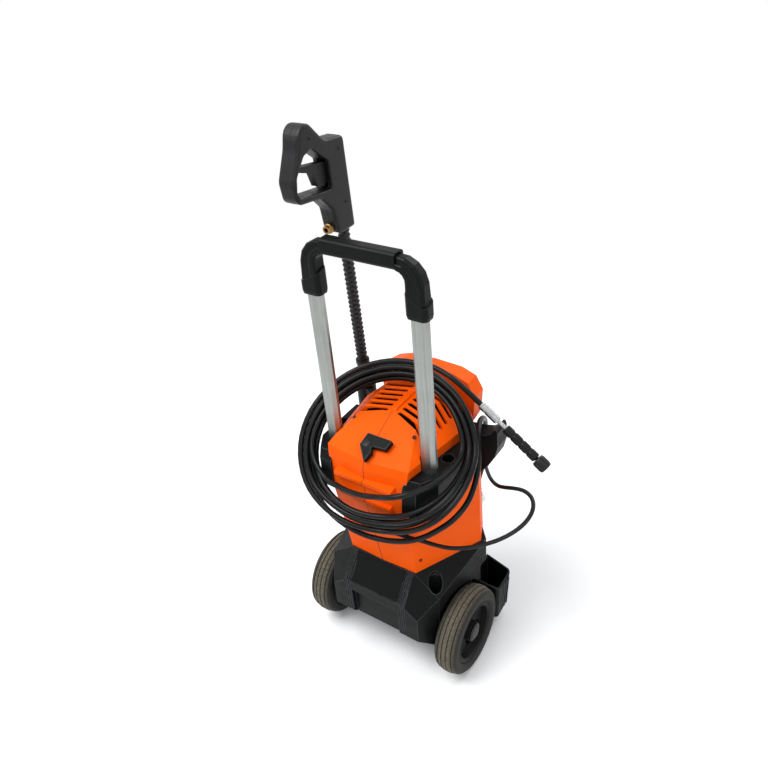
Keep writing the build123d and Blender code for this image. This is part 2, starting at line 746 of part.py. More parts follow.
def hose_point(turn):
    """Centre of the hose after a number of turns, wound clockwise as seen from behind.

    The turns spiral in on the back layer and out again on the front one. They lean on the
    visor at the top, bunch at the sides and fan out down the rear face, where they are pushed
    outward over the corners of the brackets.
    """
    angle = math.radians(-90 - 360 * turn)
    across, up = math.cos(angle), math.sin(angle)
    spiral = abs(turn - 2.5)
    layer = min(max((turn - 2.25) / 0.5, 0), 1)
    lap = min(math.floor(turn + 0.5), 5)
    order = 5 - 2 * lap if lap < 2.5 else 2 * (lap - 3)
    at_top, at_bottom = max(up, 0) ** 2, max(-up, 0) ** 2
    at_side = across ** 2
    side_radius = 145 + hose_pitch * spiral - 7 * across
    end_radius = 138 + 11.7 * spiral if up > 0 else 85 + 0.757 * hose_drop[order]
    radius = 1 / math.hypot(across / side_radius, up / end_radius)
    lift = at_top * (-42 + 5 * spiral + hose_layer * layer) + at_side * hose_layer * layer
    lift += at_bottom * (73 - 0.678 * hose_drop[order])
    if up < 0:
        corner = (2 * across * up) ** 2
        outward = right_push[lap] if across > 0 else left_push[lap]
        lift += outward * corner * (2 - corner)
    right, facing = Vector(*coil_right), Vector(*coil_facing)
    upward = facing.cross(right)
    return Vector(*coil_centre) + (right * across + upward * up) * radius + facing * lift


def cord_point(turn):
    """Centre of the cord in its put-away coil on the floor: four layers, in and out by turns."""
    rows = cord_coil_turns / 4
    layer_place = turn / rows
    layer = min(max(math.floor(layer_place), 0), 3)
    inwards = layer_place - layer
    spiral = rows * (1 - inwards if layer % 2 == 0 else inwards)
    climb_half = 0.25 / rows
    nearest = round(layer_place)
    height = layer
    if 1 <= nearest <= 3 and abs(layer_place - nearest) < climb_half:
        height = nearest - 0.5 + (layer_place - nearest) / (2 * climb_half)
    angle = 2 * math.pi * turn + math.radians(cord_coil_start)
    radius = cord_coil_inner + cord_pitch * spiral
    place = Vector(math.cos(angle) * radius, math.sin(angle) * radius, height * cord_pitch)
    return Vector(*cord_coil_centre) + place


def routed(points, diameter, name):
    """Tube along a route of points, with the largest round corners that its runs allow."""
    points = [Vector(*p) for p in points]
    radii = []
    for before, corner, after in zip(points, points[1:], points[2:]):
        turn = math.radians((corner - before).get_angle(after - corner))
        shorter = min((corner - before).length, (after - corner).length)
        radii.append(0.45 * shorter / math.tan(turn / 2))
    print(name, "radii", [round(radius) for radius in radii])
    wire = Wire(FilletPolyline(*points, radius=radii).edges())
    tube = tube_along(wire, points[1] - points[0], diameter)
    report_tube(name, tube, wire.length, diameter)
    return tube


end_start = Vector(139, 60.5, 577)
end_heading = Vector(31, -1, -22).normalized()


def end_fitting(profile):
    """Fitting turned about the axis of the hose's free end, measured from the end of the hose."""
    return turned(profile, Plane(end_start, z_dir=end_heading).location)


def hose_end_fittings():
    """Crimped ferrule, thin stem, bend protector and nut of the free end."""
    ferrule = [(0, 0), (7.5, 0), (8, 2), (8, 12), (7.2, 13), (7.2, 16), (8, 17), (8, 40), (6, 43), (0, 43)]
    save(end_fitting(ferrule), "end_ferrule")
    save(end_fitting([(0, 43), (4, 43), (4, 61), (0, 61)]), "end_stem")
    sleeve = [(0, 61)]
    for number in range(4):
        start = 61 + 19.5 * number
        sleeve += [(7.8, start), (9, start + 2), (9, start + 15), (7.8, start + 17)]
    save(end_fitting(sleeve + [(0, 139)]), "end_sleeve")
    nut = end_fitting([(7, 139), (11, 139), (12, 141), (12, 160), (10.5, 162), (7, 162)])
    spin = Plane(end_start, z_dir=end_heading)
    for number in range(12):
        tooth = spin * (Rot(0, 0, 30 * number) * (Pos(11.4, 0, 150) * Box(2.4, 3, 15)))
        nut += tooth
    save(nut, "end_nut")


def feed_fittings():
    """Nut and ferrule that join the hose to the outlet."""
    x, y, z = outlet_end
    along = Location((x, y, z), (0, 90, 0))
    nut = turned([(0, 0.2), (11, 0.2), (12.5, 2), (12.5, 18), (10, 22), (0, 22)], along)
    save(nut, "feed_nut")
    save(turned([(0, 22), (8, 22), (8, 50), (7, 52), (0, 52)], along), "feed_ferrule")


def hose():
    """Coil round the upper machine, the feed from the outlet and the free end."""
    wire, headings = winding(hose_point, hose_first_turn, hose_last_turn, 0.125)
    coil = tube_along(wire, headings[0], hose_diameter)
    report_tube("hose coil", coil, wire.length, hose_diameter)
    print("hose coil least gap", round(least_gap(wire, hose_diameter, hose_last_turn - hose_first_turn), 2))
    save(coil, "hose_coil")
    first, last = hose_point(hose_first_turn), hose_point(hose_last_turn)
    ferrule_x = outlet_end[0] + 52
    feed = [first, first - headings[0] * 27, (179, -66, 458), (175, -34, 470), (164, 1, 482),
            (149, 30, 496)]
    feed += [(136, 54, 513), (124, 79, 519), (117, 104, 512), (112, 125, 494), (105, 139, 468),
             (96, 147, 440)]
    feed += [(88, 149, 410), (83, 147, 375), (80, 143, 335), (78, 140, 295), (77, 138, 258), (74, 137, 224)]
    feed += [(68.5, 136, 196.5), (53, 134, 173), (29.5, 131, 157.5), (ferrule_x + 14, 130, 152),
             (ferrule_x, 130, 152)]
    save(routed(feed, hose_diameter, "hose feed"), "hose_feed")
    free = [last, last + headings[-1] * 18, (78, 62, 617), end_start - end_heading * 38, end_start]
    save(routed(free, hose_diameter, "hose free end"), "hose_end")
    hose_end_fittings()
    feed_fittings()


gland_end = (58, -121.5, 374)


def cord_gland():
    """Bend protector lying along the rear face, where the cord comes out of the housing."""
    x, y, z = gland_end
    profile = [(0, 0), (8, 0), (8, 6)]
    for number in range(4):
        start = 9 + 7.5 * number
        radius = 7.2 - 0.5 * number
        profile += [(radius - 1, start - 2), (radius, start - 1), (radius, start + 3)]
    profile += [(5.2, 40), (0, 40)]
    boot = turned(profile, Plane((x - 38, y + 1, z + 9), z_dir=(38, -1, -9)).location)
    boot = split(boot, bisect_by=Plane((x, y, z), z_dir=(38, -1, -9)), keep=Keep.BOTTOM)
    return boot - house_block()


plug_start = Vector(-53, 340, 15)


def cord_plug():
    """Two-pin plug at the end of the cord: tapered body with a ribbed neck, and its pins."""
    along = Plane(plug_start, x_dir=(1, 0.17, 0), z_dir=(-0.17, 0.985, 0))
    neck = [(0, 0), (5, 0), (5.4, 6), (6, 6), (6.2, 12), (6.6, 12), (7, 18), (7.4, 18), (7.8, 24), (0, 24)]
    body = loft([Pos(0, 0, 22) * RectangleRounded(18, 15, 5), Pos(0, 0, 40) * RectangleRounded(34, 19, 6),
                 Pos(0, 0, 56) * RectangleRounded(35, 22, 6)])
    pins = [Pos(x, 0, 65.5) * Cylinder(2, 19) for x in (-9.5, 9.5)]
    save(along * (turned(neck) + body), "plug")
    save(Compound([(along * pin).solid() for pin in pins]), "plug_pins")


def cord_tie():
    """Strap round the bundle of the put-away cord."""
    x, y, z = cord_coil_centre
    inner = cord_coil_inner - 5.2
    outer = cord_coil_inner + cord_pitch * cord_coil_turns / 4 + 5.2
    low, high = z - 4.6, z + 3 * cord_pitch + 4.8
    ring = block((inner - 1.2, outer + 1.2), (-6, 6), (low - 1.2, high + 1.2))
    ring -= block((inner, outer), (-7, 7), (low, high))
    ring += block((outer + 1.2, outer + 14), (-5, 5), (high - 9, high - 7.5))
    return Pos(x, y, 0) * (Rot(0, 0, 130) * ring)


def cord():
    """Power cord: loop beside the machine, under the side hook and down to a tied coil on the floor."""
    wire, headings = winding(cord_point, 0, cord_coil_turns, 0.25)
    coil = tube_along(wire, headings[0], cord_diameter)
    report_tube("cord coil", coil, wire.length, cord_diameter)
    print("cord coil least gap", round(least_gap(wire, cord_diameter, cord_coil_turns), 2))
    save(coil, "cord_coil")
    first, last = cord_point(0), cord_point(cord_coil_turns)
    route = [gland_end, (79, -118.6, 371), (97, -107, 363), (122, -99, 357), (150, -91, 354),
             (176, -77, 355)]
    route += [(202, -58, 359), (226, -37, 366), (246, -12, 376), (257, 13, 386), (258, 37, 397),
              (246, 57, 405)]
    route += [(226, 66, 410), (204, 67, 410), (186, 70, 406), (168, 77, 398), (150, 88, 389),
              (132, 104, 380)]
    route += [(115, 125, 371), (101, 145, 360), (89, 160, 343), (80, 167, 316), (72, 169, 285),
              (63, 169, 245)]
    route += [(52, 169, 205), (40, 170, 165), (26, 173, 125), (8, 180, 88), (-10, 193, 55), (-26, 211, 27)]
    route += [(-36, 230, 11)]
    route += [first - headings[0] * 24, first]
    save(routed(route, cord_diameter, "power cord"), "power_cord")
    tail = [last, last + headings[-1] * 20, plug_start - Vector(-0.17, 0.985, 0) * 22, plug_start]
    save(routed(tail, cord_diameter, "cord tail"), "cord_tail")
    save(cord_gland(), "cord_gland")
    save(cord_tie(), "cord_tie")
    cord_plug()


hose()
cord()
wheels()
save(base(), "base")
save(feet(), "feet")
save(accessory_bin(), "accessory_bin")
right_half = housing_right()
save(right_half, "housing_right")
save(other_side(right_half), "housing_left")
bracket = bracket_right()
save(bracket, "bracket_right")
save(other_side(bracket), "bracket_left")
save(side_hook(), "side_hook")
save(lance_holder(), "lance_holder")
save(front_panel(), "front_panel")
save(air_guide(), "air_guide")
save(hose_latch(), "hose_latch")
save(latch_screw(), "latch_screw")
save(switch_knob(), "switch_knob")
save(water_inlet(), "water_inlet")
save(water_outlet(), "water_outlet")
save(motor(), "motor")
save(motor_fan(), "motor_fan")
save(pump(), "pump")
save(handle_tube(), "handle_tube_right")
save(other_side(handle_tube()), "handle_tube_left")
save(handle_bar(), "handle_bar")
save(handle_elbow(), "handle_elbow_right")
save(other_side(handle_elbow()), "handle_elbow_left")
save(gun_place * gun_half(), "gun_body_right")
save(gun_place * other_side(gun_half()), "gun_body_left")
save(gun_place * gun_trigger(), "gun_trigger")
save(gun_place * trigger_pin(), "trigger_pin")
save(gun_place * gun_inlet(), "gun_inlet")
save(gun_place * gun_extension(), "gun_extension")
save(gun_place * gun_coupling(), "gun_coupling")
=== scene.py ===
import json
import math
import bmesh
import bpy
from mathutils import Matrix, Vector


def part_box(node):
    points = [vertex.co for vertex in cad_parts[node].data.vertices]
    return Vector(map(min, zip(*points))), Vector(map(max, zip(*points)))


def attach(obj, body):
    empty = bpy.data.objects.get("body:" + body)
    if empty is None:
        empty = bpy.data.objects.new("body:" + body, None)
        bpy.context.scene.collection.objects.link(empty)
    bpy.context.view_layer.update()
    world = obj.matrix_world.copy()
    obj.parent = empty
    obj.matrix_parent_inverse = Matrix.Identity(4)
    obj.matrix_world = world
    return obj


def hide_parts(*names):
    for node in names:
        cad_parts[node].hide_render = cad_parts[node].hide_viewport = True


# Looks of an upright pressure washer: camera, light, materials, hose, power cord and small details.
# Metres, in the frame of the part: +X right as seen from behind, +Y front, +Z up.
# A name that ends in _mm is in millimetres.

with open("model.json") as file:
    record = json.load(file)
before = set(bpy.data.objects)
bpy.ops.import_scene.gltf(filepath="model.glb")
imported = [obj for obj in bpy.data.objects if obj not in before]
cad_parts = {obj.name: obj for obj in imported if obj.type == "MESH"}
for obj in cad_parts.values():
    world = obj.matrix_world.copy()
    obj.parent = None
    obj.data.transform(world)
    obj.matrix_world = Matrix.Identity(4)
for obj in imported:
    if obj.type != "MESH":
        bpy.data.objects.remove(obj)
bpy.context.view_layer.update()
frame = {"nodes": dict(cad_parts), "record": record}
nodes = frame["nodes"]
bpy.context.scene.view_settings.view_transform = "Standard"

# Camera, fitted to the photograph
camera_place = (0.6779, -0.9286, 1.3801)
camera_yaw = math.radians(-36.9)
camera_pitch = math.radians(-32.8)
camera_roll = math.radians(5.4)
camera_lens_mm = 35.6
camera_sensor_mm = 36
camera_shift = (-0.0047, -0.0135)
camera_reach = 40

# Studio: name, place, width and watts of each lamp, and where the floor fades
lamps = (("key", (-1.2, -1.6, 3.8), 2.4, 150),
         ("fill", (2.8, -1.4, 2.0), 2.2, 28),
         ("back", (0.6, 2.6, 2.8), 2.2, 50))
lamp_target = Vector((0, 0, 0.4))
floor_radius = 2
floor_fade = (0.7, 1.9)

# Patterns of the materials, and how far the roughness of a moulded part wanders
drift_mm = 60
wear_mm = 22
stain_mm = 30
dust_mm = 4
tyre_grain_mm = 1.6
tyre_grain_depth_mm = 0.09
metal_edge_mm = 0.5
smoother_by = 0.06
rougher_by = 0.08

# Wheels
axle_centre = (0, -0.05, 0.0925)
tread_start = 0.0865
tread_end = 0.0915

# Hose: its length, and the oval turns of its winding in a plane that slants down to the rear
hose_diameter = 0.0105
hose_first_turn = -0.11
hose_last_turn = 5.575
hose_points_per_turn = 16
coil_centre = Vector((0.008, -0.046, 0.493))
coil_right = Vector((0.921, 0.368, 0.127))
coil_facing = Vector((0.235, -0.786, 0.571))
coil_side_radius = 0.145
coil_side_pitch = 0.0114
coil_side_skew = 0.007
coil_top_radius = 0.144
coil_top_pitch = 0.0117
coil_top_lift = -0.042
coil_top_lean = 0.005
coil_bottom_radius = 0.085
coil_bottom_lift = 0.073

# Second layer of the winding: the turn it begins at, its step outwards and its nesting at the top
layer_change = 2.5
layer_change_span = 0.5
layer_step = 0.012
layer_nest = 0.0055

# Laps of the winding: how far each hangs down at the rear, and is pushed out by the brackets
lap_drop = (0.108, 0.065, 0.0385, -0.014, 0.054, 0.080)
drop_in_plane = 0.757
drop_inwards = 0.678
right_push = (0.050, 0.035, 0.039, 0.0505, 0.052, 0.056)
left_push = (0, 0.005, 0.016, 0.010, 0.008, 0.012)

# Route of the hose before and after its winding
hose_feed_mm = ((-12, 130, 152), (2, 130, 152), (29.5, 131, 157.5), (53, 134, 173), (68.5, 136, 196.5),
                (74, 137, 224), (77, 138, 258), (78, 140, 295), (80, 143, 335), (83, 147, 375),
                (88, 149, 410), (96, 147, 440), (105, 139, 468), (112, 125, 494), (117, 104, 512),
                (124, 79, 519), (136, 54, 513), (149, 30, 496), (164, 1, 482), (175, -34, 470),
                (179, -66, 458))
hose_lead_in = 0.027
hose_lead_out = 0.018
hose_end_bend = Vector((0.078, 0.062, 0.617))
hose_end_straight = 0.038
hose_end = Vector((0.139, 0.0605, 0.577))
hose_end_heading = Vector((31, -1, -22)).normalized()

# Power cord and its put-away coil on the floor
cord_diameter = 0.008
cord_pitch = 0.0088
cord_coil_centre = Vector((-0.105, 0.262, 0.006))
cord_coil_inner = 0.036
cord_coil_turns = 12
cord_coil_layers = 4
cord_coil_start = math.radians(10)
cord_climb_turns = 0.25
cord_points_per_turn = 16

# Route of the cord before and after its coil
cord_run_mm = ((58, -121.5, 374), (79, -118.6, 371), (97, -107, 363), (122, -99, 357), (150, -91, 354),
               (176, -77, 355), (202, -58, 359), (226, -37, 366), (246, -12, 376), (257, 13, 386),
               (258, 37, 396), (246, 57, 402), (226, 65, 405), (204, 64, 402), (186, 65, 395),
               (168, 71, 386), (150, 84, 379), (132, 102, 373), (115, 124, 367), (101, 145, 358),
               (89, 160, 343), (80, 167, 316), (72, 169, 285), (63, 169, 245), (52, 169, 205),
               (40, 170, 165), (26, 173, 125), (8, 180, 88), (-10, 193, 55), (-26, 211, 27),
               (-36, 230, 11))
cord_lead_in = 0.024
cord_lead_out = 0.020
plug_straight = 0.022
plug_start = Vector((-0.053, 0.340, 0.015))
plug_heading = Vector((-0.17, 0.985, 0))

# Roof spine and parting lines
roof_z = 0.567
spine_ends = (-0.0235, 0.0935)
spine_width = 0.013
spine_height = 0.0045
spine_taper = 0.66
spine_rounding = 0.0014
seam_width = 0.0009
seam_rise = 0.0002
seam_thickness = 0.0004

# Screw heads: their radius, and their form as shares of it
screw_radius = 0.0042
gun_screw_radius = screw_radius * 0.8
screw_sides = 20
screw_taper = 0.82
screw_height = 0.5
drive_rim = 0.36
drive_slope = 0.04
drive_depth = 0.4

# Screws: name, place and facing on the right side; x and z on the panel; setback and height on the gun
side_screws_mm = (("corner_screw", (83, -87.1, 284.5), (0.9, -0.42, -0.06)),
                  ("roof_screw", (66.3, -52.8, 552.9), (0.73, -0.08, 0.68)))
panel_screws_mm = ((89, 275), (86, 485))
gun_screws_mm = ((2, 1010), (2, 915), (72, 1049))

# Spray gun as it stands in its holder
gun_x_mm = -152
gun_foot_mm = (-152, 100, 495)
gun_lean = math.radians(2.5)
gun_half_thickness_mm = 17.5
gun_cell = 0.0012
gun_smoothing_steps = 8

# Grip of the gun: its rounded corners give centre, radius, first and last angle in degrees
grip_stretch_start_mm = 1040
grip_stretch = 0.45
grip_start = 0.057
grip_corners_mm = (((76.2, 1035), 28, 22, 128), ((105.6, 970.2), 20, -81, -6))
grip_corner_cuts = 7

# Tolerances of the mesh work
merge_distance = 0.00001
middle_tolerance = 0.00005
cut_tolerance = 0.000001

# Sockets of a Mix node for colours: factor, first colour, second colour and result
mix_factor, mix_first, mix_second, mix_result = 0, 6, 7, 2


# Shader nodes

def linear(hex_colour):
    """Linear colour from an sRGB hex colour."""
    values = [int(hex_colour[place:place + 2], 16) / 255 for place in (1, 3, 5)]
    lit = [value / 12.92 if value <= 0.04045 else ((value + 0.055) / 1.055) ** 2.4 for value in values]
    return (*lit, 1)


def add_node(tree, kind, values=None, links=None, **settings):
    """New shader node with its settings, socket values and links from other nodes' outputs."""
    node = tree.nodes.new(kind)
    for name, setting in settings.items():
        setattr(node, name, setting)
    for name, value in (values or {}).items():
        node.inputs[name].default_value = value
    for name, output in (links or {}).items():
        tree.links.new(output, node.inputs[name])
    return node


def new_material(name):
    """Material with an empty node tree."""
    material = bpy.data.materials.new(name)
    material.use_nodes = True
    material.node_tree.nodes.clear()
    return material, material.node_tree


# Camera and light

def add_camera():
    """Camera where the photograph was taken from."""
    forward = Vector((math.sin(camera_yaw) * math.cos(camera_pitch),
                      math.cos(camera_yaw) * math.cos(camera_pitch), math.sin(camera_pitch)))
    level = Vector((math.cos(camera_yaw), -math.sin(camera_yaw), 0))
    down = forward.cross(level)
    right = level * math.cos(camera_roll) + down * math.sin(camera_roll)
    below = down * math.cos(camera_roll) - level * math.sin(camera_roll)
    turn = Matrix((right, -below, -forward)).transposed().to_4x4()
    data = bpy.data.cameras.new("photo_camera")
    data.lens = camera_lens_mm
    data.sensor_width = camera_sensor_mm
    data.shift_x, data.shift_y = camera_shift
    data.clip_end = camera_reach
    camera = bpy.data.objects.new("photo_camera", data)
    camera.matrix_world = Matrix.Translation(Vector(camera_place)) @ turn
    bpy.context.scene.collection.objects.link(camera)
    bpy.context.scene.camera = camera


def add_lamp(name, place, width, power):
    """Square soft light, pointed at the middle of the machine."""
    data = bpy.data.lights.new(name, "AREA")
    data.size = width
    data.energy = power
    lamp = bpy.data.objects.new(name, data)
    heading = lamp_target - Vector(place)
    turn = heading.to_track_quat("-Z", "Y").to_matrix().to_4x4()
    lamp.matrix_world = Matrix.Translation(Vector(place)) @ turn
    bpy.context.scene.collection.objects.link(lamp)


def add_world():
    """White to the camera and in reflections, soft light on everything else."""
    world = bpy.data.worlds.new("studio")
    world.use_nodes = True
    tree = world.node_tree
    tree.nodes.clear()
    ray = add_node(tree, "ShaderNodeLightPath").outputs
    mirrored = add_node(tree, "ShaderNodeMath", operation="MAXIMUM",
                        links={0: ray["Is Glossy Ray"], 1: ray["Is Transmission Ray"]})
    seen = add_node(tree, "ShaderNodeMath", operation="MAXIMUM",
                    links={0: ray["Is Camera Ray"], 1: mirrored.outputs[0]})
    soft = add_node(tree, "ShaderNodeBackground", {"Color": linear("#eef2f6"), "Strength": 0.6})
    white = add_node(tree, "ShaderNodeBackground", {"Color": (1, 1, 1, 1), "Strength": 1.0})
    mix = add_node(tree, "ShaderNodeMixShader",
                   links={0: seen.outputs[0], 1: soft.outputs[0], 2: white.outputs[0]})
    add_node(tree, "ShaderNodeOutputWorld", links={"Surface": mix.outputs[0]})
    bpy.context.scene.world = world


def floor_paint():
    """Matt white floor that keeps the shadow near the machine and fades into the white beyond."""
    material, tree = new_material("matt_white_floor")
    place = add_node(tree, "ShaderNodeTexCoord").outputs["Object"]
    away = add_node(tree, "ShaderNodeVectorMath", links={0: place}, operation="LENGTH")
    near, far = floor_fade
    fade = add_node(tree, "ShaderNodeMapRange",
                    {"From Min": near, "From Max": far, "To Min": 0, "To Max": 1},
                    {"Value": away.outputs["Value"]}, interpolation_type="SMOOTHSTEP")
    white = add_node(tree, "ShaderNodeBsdfDiffuse", {"Color": linear("#fbfbfb")})
    clear = add_node(tree, "ShaderNodeBsdfTransparent")
    mix = add_node(tree, "ShaderNodeMixShader",
                   links={0: fade.outputs["Result"], 1: white.outputs[0], 2: clear.outputs[0]})
    add_node(tree, "ShaderNodeOutputMaterial", links={"Surface": mix.outputs[0]})
    return material


def add_floor():
    """Round floor under the machine, not part of it."""
    mesh = bpy.data.meshes.new("floor")
    shape = bmesh.new()
    bmesh.ops.create_circle(shape, cap_ends=True, segments=64, radius=floor_radius)
    shape.to_mesh(mesh)
    shape.free()
    floor = bpy.data.objects.new("floor", mesh)
    bpy.context.scene.collection.objects.link(floor)
    mesh.materials.append(floor_paint())


# Materials, one per slot of the record

def moulded(name, dark, light, edge_wear_and_highlight, roughness, gloss, grain_mm, grain_depth_mm, edge_mm=0.8):
    """Moulded part: drifting colour, uneven sheen, grain of the mould, and softened edges painted paler,
    partly as rubbed wear and partly as a painted highlight.

    The grain is drawn coarser than a mould leaves it, so that it shows. Edges are painted paler, as wear
    and as a painted highlight, where the softened surface turns away from the face, so that the cosine
    between them falls below 0.99.
    """
    material, tree = new_material(name)
    place = add_node(tree, "ShaderNodeTexCoord").outputs["Object"]
    drift = add_node(tree, "ShaderNodeTexNoise", {"Scale": 1000 / drift_mm, "Detail": 3},
                     {"Vector": place})
    wear = add_node(tree, "ShaderNodeTexNoise", {"Scale": 1000 / wear_mm, "Detail": 5},
                    {"Vector": place})
    grain = add_node(tree, "ShaderNodeTexNoise", {"Scale": 1000 / grain_mm, "Detail": 2},
                     {"Vector": place})
    plain = add_node(tree, "ShaderNodeMix", {mix_first: linear(dark), mix_second: linear(light)},
                     {mix_factor: drift.outputs["Fac"]}, data_type="RGBA")
    sheen = add_node(tree, "ShaderNodeMapRange",
                     {"From Min": 0.3, "From Max": 0.7,
                      "To Min": roughness - smoother_by, "To Max": roughness + rougher_by},
                     {"Value": wear.outputs["Fac"]})
    edges = add_node(tree, "ShaderNodeBevel", {"Radius": edge_mm / 1000})
    facing = add_node(tree, "ShaderNodeNewGeometry").outputs["Normal"]
    flatness = add_node(tree, "ShaderNodeVectorMath", links={0: facing, 1: edges.outputs[0]},
                        operation="DOT_PRODUCT")
    # Painted highlight and rubbed wear on the edges: a pale colour where the softened surface turns from
    # the face.
    worn_and_highlit_edges = add_node(tree, "ShaderNodeMapRange",
                       {"From Min": 0.99, "From Max": 0.93, "To Min": 0, "To Max": 0.9},
                       {"Value": flatness.outputs["Value"]})
    amount = add_node(tree, "ShaderNodeMath", links={0: worn_and_highlit_edges.outputs[0], 1: wear.outputs["Fac"]},
                      operation="MULTIPLY")
    # The pale edge colour, part wear and part painted highlight, mixed over the plain colour.
    colour = add_node(tree, "ShaderNodeMix", {mix_second: linear(edge_wear_and_highlight)},
                      {mix_factor: amount.outputs[0], mix_first: plain.outputs[mix_result]},
                      data_type="RGBA")
    bump = add_node(tree, "ShaderNodeBump", {"Strength": 1.0, "Distance": grain_depth_mm / 1000},
                    {"Height": grain.outputs["Fac"], "Normal": edges.outputs[0]})
    surface = add_node(tree, "ShaderNodeBsdfPrincipled", {"IOR": 1.5, "Specular IOR Level": gloss},
                       {"Base Color": colour.outputs[mix_result], "Roughness": sheen.outputs[0],
                        "Normal": bump.outputs[0]})
    add_node(tree, "ShaderNodeOutputMaterial", links={"Surface": surface.outputs[0]})
    return material


# The third colour of each moulded part paints its edges paler, partly as rubbed wear and partly as a
# painted highlight.
def orange_shell():
    """Moulded ABS of the housing: vivid orange with a satin sheen."""
    return moulded("orange_moulded_abs", "#ec5002", "#f65e06", "#ff8a40",
                   roughness=0.42, gloss=0.06, grain_mm=1.6, grain_depth_mm=0.015)


def black_base():
    """Moulded polypropylene of the base and brackets: deep black facets, dull, with pale edges, partly
    rubbed wear and partly a painted highlight.
    """
    return moulded("black_moulded_polypropylene", "#090a0a", "#121314", "#8a8e90",
                   roughness=0.42, gloss=0.09, grain_mm=1.1, grain_depth_mm=0.035, edge_mm=1.2)


def handle_grip():
    """Moulded nylon of the handle: black, slightly polished by hands."""
    return moulded("black_moulded_nylon", "#080909", "#101111", "#3c3e40",
                   roughness=0.34, gloss=0.11, grain_mm=1.0, grain_depth_mm=0.015, edge_mm=1.0)


def gun_plastic():
    """Glass-filled nylon of the spray gun: black and finely textured."""
    return moulded("black_glass_filled_nylon", "#121214", "#1c1c1e", "#525254",
                   roughness=0.42, gloss=0.24, grain_mm=0.9, grain_depth_mm=0.02)


def wheel_plastic():
    """Moulded polypropylene of the wheel discs: black gone grey with use."""
    return moulded("grey_black_polypropylene", "#0d0d0e", "#1a1918", "#464646",
                   roughness=0.48, gloss=0.13, grain_mm=1.2, grain_depth_mm=0.03)


def cap_plastic():
    """Moulded ABS of the wheel caps, the knob, dark screws and parting lines: black and smoother."""
    return moulded("black_moulded_abs", "#0f0f10", "#19191a", "#444446",
                   roughness=0.34, gloss=0.20, grain_mm=1.4, grain_depth_mm=0.01)


def fitting_plastic():
    """Acetal of the couplings and the fan: black, dense and smooth."""
    return moulded("black_acetal", "#0e0e0f", "#171718", "#3e3e40",
                   roughness=0.32, gloss=0.26, grain_mm=1.2, grain_depth_mm=0.012)


def hose_rubber():
    """Extruded rubber cover of the hose: black with a bright line along it where the light meets it."""
    return moulded("black_extruded_rubber", "#0c0d0d", "#161717", "#242525",
                   roughness=0.30, gloss=0.17, grain_mm=2.2, grain_depth_mm=0.03, edge_mm=0.3)


def cord_rubber():
    """Flexible PVC of the power cord, its plug and the feet: black and satin."""
    return moulded("black_flexible_pvc", "#0e0e0f", "#181818", "#262626",
                   roughness=0.36, gloss=0.22, grain_mm=1.8, grain_depth_mm=0.02, edge_mm=0.3)


def tyre_rubber():
    """Vulcanised rubber: black sidewalls, and olive-grey dust caught on the tread."""
    material, tree = new_material("dusty_vulcanised_rubber")
    place = add_node(tree, "ShaderNodeTexCoord").outputs["Object"]
    spokewise = add_node(tree, "ShaderNodeVectorMath", {1: axle_centre}, {0: place},
                         operation="SUBTRACT")
    flat = add_node(tree, "ShaderNodeVectorMath", {1: (0, 1, 1)}, {0: spokewise.outputs[0]},
                    operation="MULTIPLY")
    away = add_node(tree, "ShaderNodeVectorMath", links={0: flat.outputs[0]}, operation="LENGTH")
    tread = add_node(tree, "ShaderNodeMapRange",
                     {"From Min": tread_start, "From Max": tread_end, "To Min": 0.10, "To Max": 1.0},
                     {"Value": away.outputs["Value"]})
    dust = add_node(tree, "ShaderNodeTexNoise", {"Scale": 1000 / dust_mm, "Detail": 8},
                    {"Vector": place})
    patches = add_node(tree, "ShaderNodeMapRange",
                       {"From Min": 0.32, "From Max": 0.68, "To Min": 0.35, "To Max": 1},
                       {"Value": dust.outputs["Fac"]})
    amount = add_node(tree, "ShaderNodeMath", links={0: tread.outputs[0], 1: patches.outputs[0]},
                      operation="MULTIPLY")
    colour = add_node(tree, "ShaderNodeMix",
                      {mix_first: linear("#161615"), mix_second: linear("#666051")},
                      {mix_factor: amount.outputs[0]}, data_type="RGBA")
    grain = add_node(tree, "ShaderNodeTexNoise", {"Scale": 1000 / tyre_grain_mm, "Detail": 4},
                     {"Vector": place})
    bump = add_node(tree, "ShaderNodeBump", {"Strength": 1.0, "Distance": tyre_grain_depth_mm / 1000},
                    {"Height": grain.outputs["Fac"]})
    surface = add_node(tree, "ShaderNodeBsdfPrincipled",
                       {"IOR": 1.52, "Roughness": 0.78, "Specular IOR Level": 0.3},
                       {"Base Color": colour.outputs[mix_result], "Normal": bump.outputs[0]})
    add_node(tree, "ShaderNodeOutputMaterial", links={"Surface": surface.outputs[0]})
    return material


